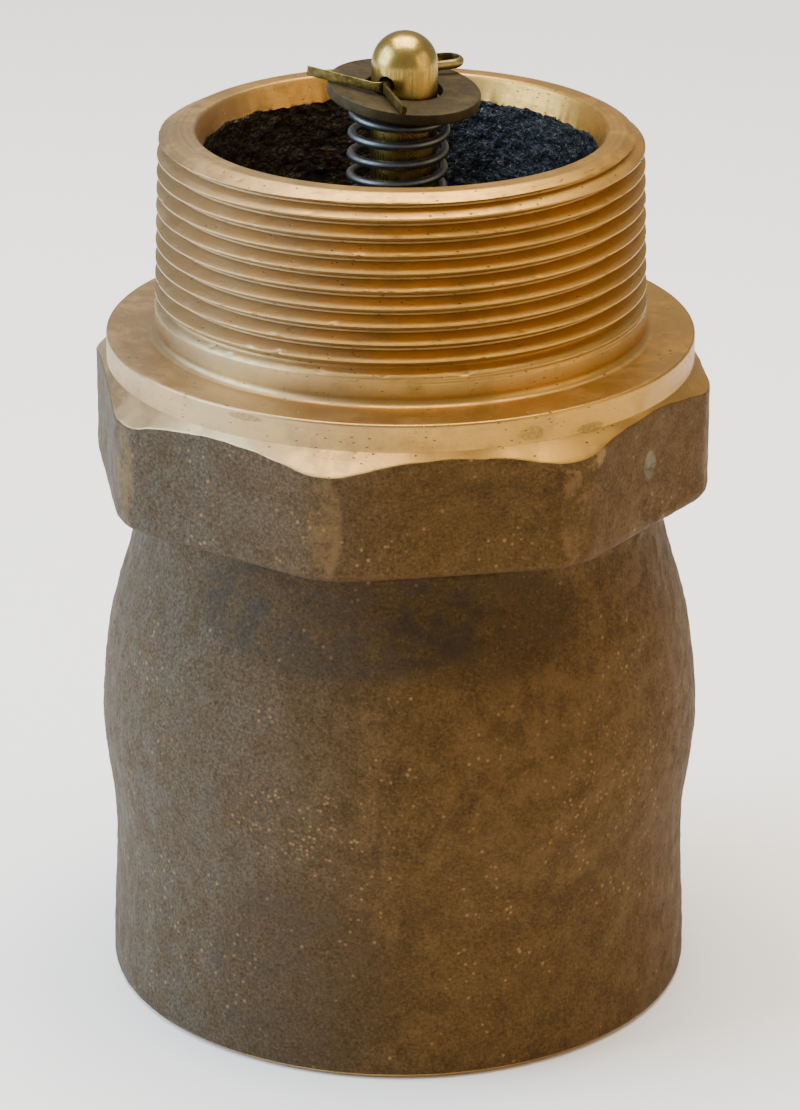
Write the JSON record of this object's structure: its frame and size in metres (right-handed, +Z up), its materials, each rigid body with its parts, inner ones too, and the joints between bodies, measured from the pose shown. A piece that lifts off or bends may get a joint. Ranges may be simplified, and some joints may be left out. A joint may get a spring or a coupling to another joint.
{
  "type": "foot valve",
  "caption": "Spring-loaded poppet foot valve: cast bronze body with wrench flats, male pipe thread at the inlet, female at the outlet, stem and spring showing in the inlet bore.",
  "frame": {"origin": "centre of the outlet face, on the valve's axis; the valve stands on it", "axes": "+Z up along the valve's axis from outlet to inlet, -Y and +X along the normals of two wrench flats"},
  "size_m": [0.1114, 0.1114, 0.1808],
  "materials": {
    "cast_bronze": "rough cast skin, machined at the inlet thread and shoulder",
    "brass": "turned",
    "aged_brass": "dull, oxidised",
    "stainless_steel": "drawn wire",
    "rubber": "matte",
    "fibre": "matte pressed fibre"
  },
  "bodies": {
    "valve_body": {"valve_body": "cast_bronze", "seat_ring": "brass", "seat_gasket": "fibre", "guide_spider": "cast_bronze", "guide_bushing": "brass", "spring_seat_washer": "aged_brass"},
    "return_spring": {"return_spring": "stainless_steel"},
    "poppet_assembly": {"valve_stem": "brass", "retainer_washer": "aged_brass", "cotter_pin": "aged_brass", "disc_retainer": "brass", "seat_disc": "rubber", "poppet_disc": "cast_bronze", "plain_washer": "brass", "lock_washer": "stainless_steel", "disc_nut": "brass"}
  },
  "joints": [
    {"name": "stem_spin", "type": "hinge", "parent": "valve_body", "child": "return_spring", "pos_m": [0, 0, 0.14], "axis": [0, 0, 1], "continuous": true},
    {"name": "poppet_lift", "type": "slide", "parent": "return_spring", "child": "poppet_assembly", "axis": [0, 0, -1], "range_m": [0, 0.017], "stiffness_N_per_m": 1350, "springref_m": -0.0096, "deforming": ["return_spring"]}
  ]
}
